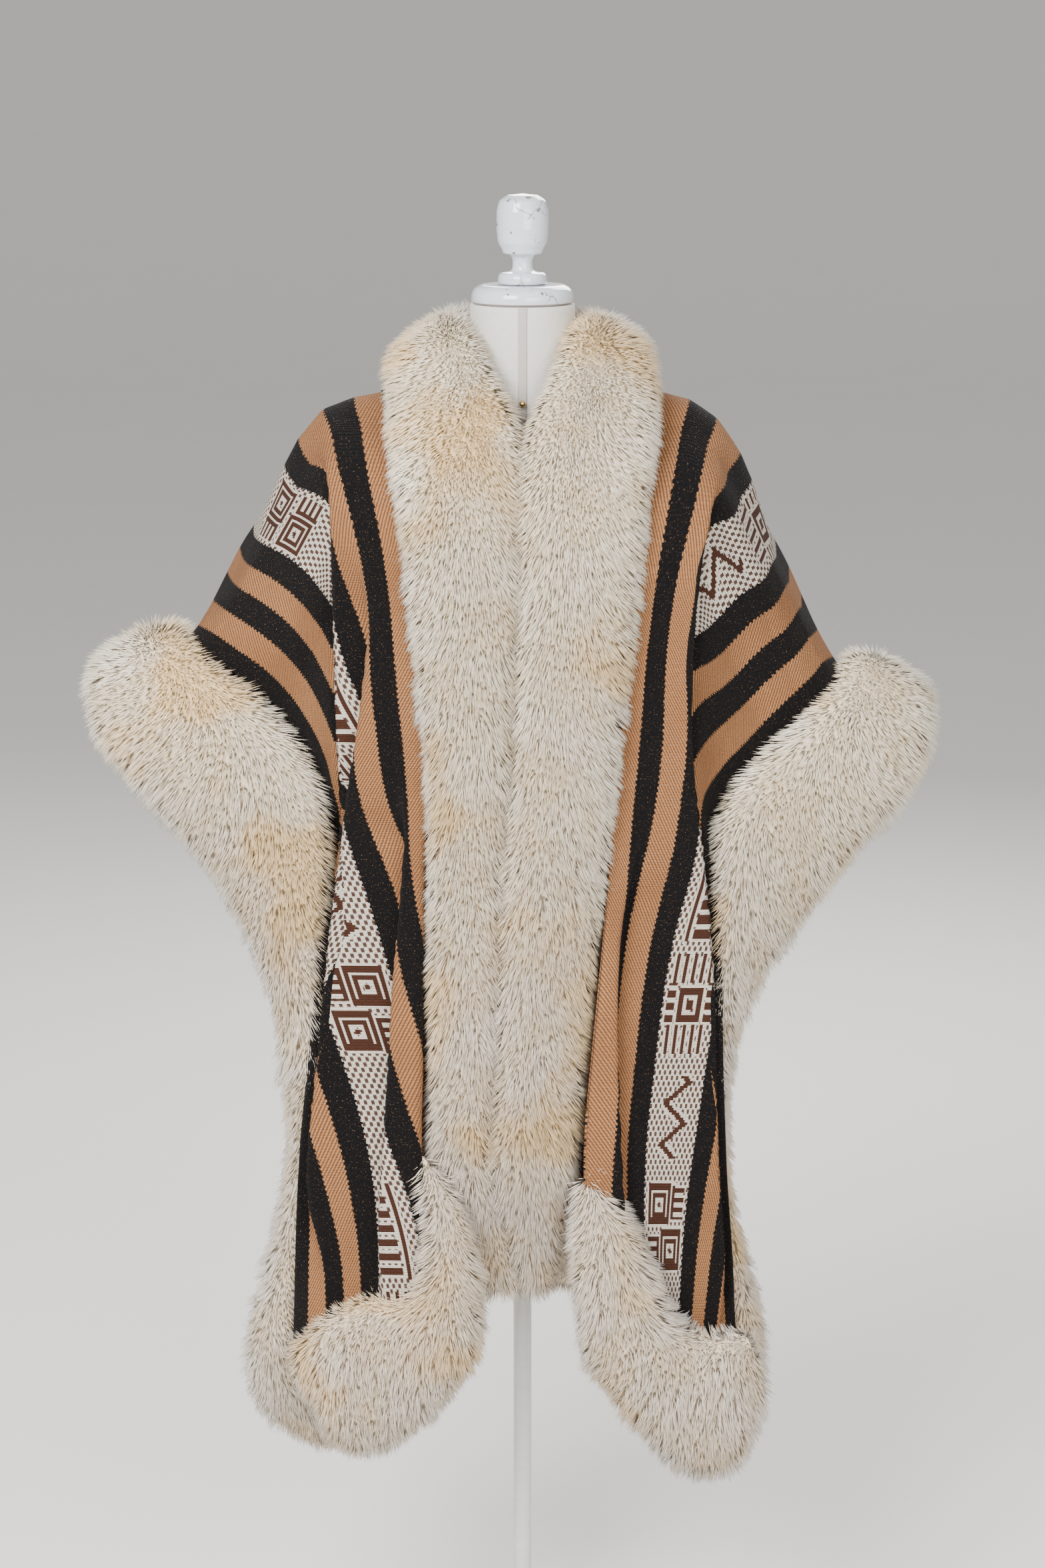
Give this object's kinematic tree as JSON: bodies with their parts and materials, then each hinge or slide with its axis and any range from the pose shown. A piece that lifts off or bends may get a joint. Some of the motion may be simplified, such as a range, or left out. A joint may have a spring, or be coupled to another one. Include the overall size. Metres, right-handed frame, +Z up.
{
  "type": "fur-trimmed woven cape on a dress form",
  "caption": "Open-front striped woven cape with long-pile fur borders, cuffs and hems, standing on a limbless dress form.",
  "frame": {"origin": "on the floor, at the middle of the stand's round base", "axes": "+Z up, -Y to the wearer's front, +X to the wearer's left"},
  "size_m": [0.9202, 0.4174, 1.6343],
  "materials": {
    "woven_cloth": "matte, striped tan, charcoal and patterned off-white and brown wool",
    "fur": "long cream pile",
    "form_cloth": "fine off-white cloth",
    "white_paint": "glossy, chipped",
    "ribbon": "satin",
    "gold": "polished",
    "stand_paint": "satin"
  },
  "bodies": {
    "root": {"torso": "form_cloth", "neck_cap": "white_paint", "finial": "white_paint", "neck_tape": "ribbon", "pin": "gold", "pole": "stand_paint", "base": "stand_paint", "collar": "fur", "border_right": "fur", "front_hem_right": "fur", "side_trim_right": "fur", "back_hem_right": "fur", "cloth_right": "woven_cloth", "border_left": "fur", "front_hem_left": "fur", "side_trim_left": "fur", "back_hem_left": "fur", "cloth_left": "woven_cloth"}
  },
  "joints": []
}
